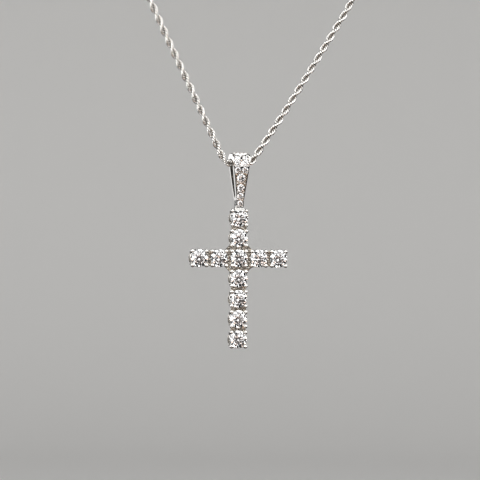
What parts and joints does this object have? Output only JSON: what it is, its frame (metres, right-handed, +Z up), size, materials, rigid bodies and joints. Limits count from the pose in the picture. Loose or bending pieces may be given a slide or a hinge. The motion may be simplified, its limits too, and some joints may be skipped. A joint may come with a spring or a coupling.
{
  "type": "cross pendant necklace",
  "caption": "Latin cross pendant of round claw-set stones, hung by a tapered pave bail from a whole loop of twisted rope chain with a barrel clasp.",
  "frame": {"origin": "where the clasp bears on the nape of the neck", "axes": "+Z up, -Y the way the cross faces, +X to the right as the cross is seen from the front"},
  "size_m": [0.12, 0.1154, 0.1534],
  "materials": {
    "cast_silver": "cast silver, polished and rhodium plated to a bright white mirror",
    "stone": "colourless round brilliant, polished facets",
    "small_stone": "colourless small brilliant, polished facets",
    "chain_silver": "drawn silver wire links, tumbled bright and rhodium plated",
    "clasp_silver": "turned silver, polished and rhodium plated"
  },
  "bodies": {
    "necklace": {"chain_left": "chain_silver", "chain_right": "chain_silver", "clasp": "clasp_silver"},
    "pendant": {"cross_frame": "cast_silver", "stone_up_2": "stone", "stone_up_1": "stone", "stone_centre": "stone", "stone_left_1": "stone", "stone_left_2": "stone", "stone_right_1": "stone", "stone_right_2": "stone", "stone_down_1": "stone", "stone_down_2": "stone", "stone_down_3": "stone", "stone_down_4": "stone", "bail_stone_1": "small_stone", "bail_stone_2": "small_stone", "bail_stone_3": "small_stone", "bail_stone_4": "small_stone", "bail_stone_5": "small_stone", "bail_stone_6": "small_stone", "bail_stone_7": "small_stone", "bail_stone_8": "small_stone", "bail_stone_9": "small_stone", "bail_stone_10": "small_stone"}
  },
  "joints": [
    {"name": "pendant_swing", "type": "hinge", "parent": "necklace", "child": "pendant", "pos_m": [-0.006, -0.11, -0.112], "axis": [1, 0, 0], "range_deg": [-75, 75]}
  ]
}
